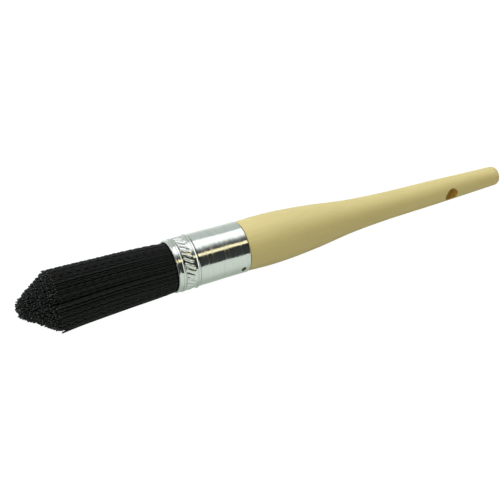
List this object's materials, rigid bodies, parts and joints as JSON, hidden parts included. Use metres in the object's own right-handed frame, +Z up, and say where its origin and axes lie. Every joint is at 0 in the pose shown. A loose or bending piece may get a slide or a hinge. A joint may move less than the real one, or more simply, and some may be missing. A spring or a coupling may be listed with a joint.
{
  "type": "round filament brush",
  "caption": "Round scrubbing brush: a blunt-pointed head of crimped black nylon in a plated crimped ferrule on a turned cream wooden handle with a hanging hole.",
  "frame": {"origin": "centre of the underside of the bounding box, on the surface the brush lies on", "axes": "+X from the filament head to the butt of the handle, +Z up; the brush lies on the head's shoulder and the handle's swell"},
  "size_m": [0.2648, 0.0306, 0.0307],
  "materials": {
    "filaments": "semi-matt black crimped nylon",
    "ferrule_plate": "bright tin plate with fine streaks round it",
    "handle_paint": "cream satin paint over turned wood, raw in the hole",
    "brad_steel": "plain steel",
    "setting_resin": "cast amber resin, hidden inside the ferrule"
  },
  "bodies": {
    "root": {"handle": "handle_paint", "ferrule": "ferrule_plate", "resin_plug": "setting_resin", "brad_front": "brad_steel", "brad_back": "brad_steel", "core_bundle": "filaments"},
    "outer_bundle_01": {"outer_bundle_01": "filaments"},
    "inner_bundle_01": {"inner_bundle_01": "filaments"},
    "outer_bundle_02": {"outer_bundle_02": "filaments"},
    "inner_bundle_02": {"inner_bundle_02": "filaments"},
    "outer_bundle_03": {"outer_bundle_03": "filaments"},
    "inner_bundle_03": {"inner_bundle_03": "filaments"},
    "outer_bundle_04": {"outer_bundle_04": "filaments"},
    "inner_bundle_04": {"inner_bundle_04": "filaments"},
    "outer_bundle_05": {"outer_bundle_05": "filaments"},
    "inner_bundle_05": {"inner_bundle_05": "filaments"},
    "outer_bundle_06": {"outer_bundle_06": "filaments"},
    "inner_bundle_06": {"inner_bundle_06": "filaments"},
    "outer_bundle_07": {"outer_bundle_07": "filaments"},
    "inner_bundle_07": {"inner_bundle_07": "filaments"},
    "outer_bundle_08": {"outer_bundle_08": "filaments"},
    "inner_bundle_08": {"inner_bundle_08": "filaments"},
    "outer_bundle_09": {"outer_bundle_09": "filaments"},
    "inner_bundle_09": {"inner_bundle_09": "filaments"},
    "outer_bundle_10": {"outer_bundle_10": "filaments"},
    "inner_bundle_10": {"inner_bundle_10": "filaments"},
    "outer_bundle_11": {"outer_bundle_11": "filaments"},
    "inner_bundle_11": {"inner_bundle_11": "filaments"},
    "outer_bundle_12": {"outer_bundle_12": "filaments"},
    "inner_bundle_12": {"inner_bundle_12": "filaments"}
  },
  "joints": [
    {"name": "outer_bundle_01_splay", "type": "hinge", "parent": "root", "child": "outer_bundle_01", "pos_m": [-0.05515, 0.00134, 0.00378], "axis": [-0.0031, -0.9914, -0.1305], "range_deg": [0, 20], "stiffness_Nm_per_rad": 0.05},
    {"name": "inner_bundle_01_splay", "type": "hinge", "parent": "root", "child": "inner_bundle_01", "pos_m": [-0.05505, 0.0008, 0.00794], "axis": [-0.0031, -0.9914, -0.1305], "range_deg": [0, 10], "stiffness_Nm_per_rad": 0.03},
    {"name": "outer_bundle_02_splay", "type": "hinge", "parent": "root", "child": "outer_bundle_02", "pos_m": [-0.05511, 0.00627, 0.00582], "axis": [-0.0147, -0.7934, -0.6086], "range_deg": [0, 20], "stiffness_Nm_per_rad": 0.05},
    {"name": "inner_bundle_02_splay", "type": "hinge", "parent": "root", "child": "inner_bundle_02", "pos_m": [-0.05502, 0.00371, 0.00915], "axis": [-0.0147, -0.7934, -0.6086], "range_deg": [0, 10], "stiffness_Nm_per_rad": 0.03},
    {"name": "outer_bundle_03_splay", "type": "hinge", "parent": "root", "child": "outer_bundle_03", "pos_m": [-0.055, 0.00952, 0.01005], "axis": [-0.0223, -0.3827, -0.9236], "range_deg": [0, 20], "stiffness_Nm_per_rad": 0.05},
    {"name": "inner_bundle_03_splay", "type": "hinge", "parent": "root", "child": "inner_bundle_03", "pos_m": [-0.05496, 0.00564, 0.01165], "axis": [-0.0223, -0.3827, -0.9236], "range_deg": [0, 10], "stiffness_Nm_per_rad": 0.03},
    {"name": "outer_bundle_04_splay", "type": "hinge", "parent": "root", "child": "outer_bundle_04", "pos_m": [-0.05488, 0.01021, 0.01533], "axis": [-0.0239, 0.1305, -0.9912], "range_deg": [0, 20], "stiffness_Nm_per_rad": 0.05},
    {"name": "inner_bundle_04_splay", "type": "hinge", "parent": "root", "child": "inner_bundle_04", "pos_m": [-0.05489, 0.00605, 0.01478], "axis": [-0.0239, 0.1305, -0.9912], "range_deg": [0, 10], "stiffness_Nm_per_rad": 0.03},
    {"name": "outer_bundle_05_splay", "type": "hinge", "parent": "root", "child": "outer_bundle_05", "pos_m": [-0.05476, 0.00817, 0.02025], "axis": [-0.0191, 0.6088, -0.7931], "range_deg": [0, 20], "stiffness_Nm_per_rad": 0.05},
    {"name": "inner_bundle_05_splay", "type": "hinge", "parent": "root", "child": "inner_bundle_05", "pos_m": [-0.05482, 0.00484, 0.0177], "axis": [-0.0191, 0.6088, -0.7931], "range_deg": [0, 10], "stiffness_Nm_per_rad": 0.03},
    {"name": "outer_bundle_06_splay", "type": "hinge", "parent": "root", "child": "outer_bundle_06", "pos_m": [-0.05468, 0.00394, 0.0235], "axis": [-0.0092, 0.9239, -0.3826], "range_deg": [0, 20], "stiffness_Nm_per_rad": 0.05},
    {"name": "inner_bundle_06_splay", "type": "hinge", "parent": "root", "child": "inner_bundle_06", "pos_m": [-0.05477, 0.00233, 0.01962], "axis": [-0.0092, 0.9239, -0.3826], "range_deg": [0, 10], "stiffness_Nm_per_rad": 0.03},
    {"name": "outer_bundle_07_splay", "type": "hinge", "parent": "root", "child": "outer_bundle_07", "pos_m": [-0.05466, -0.00134, 0.02419], "axis": [0.0031, 0.9914, 0.1305], "range_deg": [0, 20], "stiffness_Nm_per_rad": 0.05},
    {"name": "inner_bundle_07_splay", "type": "hinge", "parent": "root", "child": "inner_bundle_07", "pos_m": [-0.05476, -0.0008, 0.02003], "axis": [0.0031, 0.9914, 0.1305], "range_deg": [0, 10], "stiffness_Nm_per_rad": 0.03},
    {"name": "outer_bundle_08_splay", "type": "hinge", "parent": "root", "child": "outer_bundle_08", "pos_m": [-0.05471, -0.00627, 0.02215], "axis": [0.0147, 0.7934, 0.6086], "range_deg": [0, 20], "stiffness_Nm_per_rad": 0.05},
    {"name": "inner_bundle_08_splay", "type": "hinge", "parent": "root", "child": "inner_bundle_08", "pos_m": [-0.05479, -0.00371, 0.01882], "axis": [0.0147, 0.7934, 0.6086], "range_deg": [0, 10], "stiffness_Nm_per_rad": 0.03},
    {"name": "outer_bundle_09_splay", "type": "hinge", "parent": "root", "child": "outer_bundle_09", "pos_m": [-0.05481, -0.00952, 0.01793], "axis": [0.0223, 0.3827, 0.9236], "range_deg": [0, 20], "stiffness_Nm_per_rad": 0.05},
    {"name": "inner_bundle_09_splay", "type": "hinge", "parent": "root", "child": "inner_bundle_09", "pos_m": [-0.05485, -0.00564, 0.01632], "axis": [0.0223, 0.3827, 0.9236], "range_deg": [0, 10], "stiffness_Nm_per_rad": 0.03},
    {"name": "outer_bundle_10_splay", "type": "hinge", "parent": "root", "child": "outer_bundle_10", "pos_m": [-0.05494, -0.01021, 0.01264], "axis": [0.0239, -0.1305, 0.9912], "range_deg": [0, 20], "stiffness_Nm_per_rad": 0.05},
    {"name": "inner_bundle_10_splay", "type": "hinge", "parent": "root", "child": "inner_bundle_10", "pos_m": [-0.05493, -0.00605, 0.01319], "axis": [0.0239, -0.1305, 0.9912], "range_deg": [0, 10], "stiffness_Nm_per_rad": 0.03},
    {"name": "outer_bundle_11_splay", "type": "hinge", "parent": "root", "child": "outer_bundle_11", "pos_m": [-0.05506, -0.00817, 0.00772], "axis": [0.0191, -0.6088, 0.7931], "range_deg": [0, 20], "stiffness_Nm_per_rad": 0.05},
    {"name": "inner_bundle_11_splay", "type": "hinge", "parent": "root", "child": "inner_bundle_11", "pos_m": [-0.055, -0.00484, 0.01027], "axis": [0.0191, -0.6088, 0.7931], "range_deg": [0, 10], "stiffness_Nm_per_rad": 0.03},
    {"name": "outer_bundle_12_splay", "type": "hinge", "parent": "root", "child": "outer_bundle_12", "pos_m": [-0.05514, -0.00394, 0.00447], "axis": [0.0092, -0.9239, 0.3826], "range_deg": [0, 20], "stiffness_Nm_per_rad": 0.05},
    {"name": "inner_bundle_12_splay", "type": "hinge", "parent": "root", "child": "inner_bundle_12", "pos_m": [-0.05504, -0.00233, 0.00835], "axis": [0.0092, -0.9239, 0.3826], "range_deg": [0, 10], "stiffness_Nm_per_rad": 0.03}
  ],
  "couplings": [
    {"joint": "inner_bundle_01_splay", "follows": "outer_bundle_01_splay", "ratio": 0.5},
    {"joint": "inner_bundle_02_splay", "follows": "outer_bundle_02_splay", "ratio": 0.5},
    {"joint": "inner_bundle_03_splay", "follows": "outer_bundle_03_splay", "ratio": 0.5},
    {"joint": "inner_bundle_04_splay", "follows": "outer_bundle_04_splay", "ratio": 0.5},
    {"joint": "inner_bundle_05_splay", "follows": "outer_bundle_05_splay", "ratio": 0.5},
    {"joint": "inner_bundle_06_splay", "follows": "outer_bundle_06_splay", "ratio": 0.5},
    {"joint": "inner_bundle_07_splay", "follows": "outer_bundle_07_splay", "ratio": 0.5},
    {"joint": "inner_bundle_08_splay", "follows": "outer_bundle_08_splay", "ratio": 0.5},
    {"joint": "inner_bundle_09_splay", "follows": "outer_bundle_09_splay", "ratio": 0.5},
    {"joint": "inner_bundle_10_splay", "follows": "outer_bundle_10_splay", "ratio": 0.5},
    {"joint": "inner_bundle_11_splay", "follows": "outer_bundle_11_splay", "ratio": 0.5},
    {"joint": "inner_bundle_12_splay", "follows": "outer_bundle_12_splay", "ratio": 0.5}
  ]
}
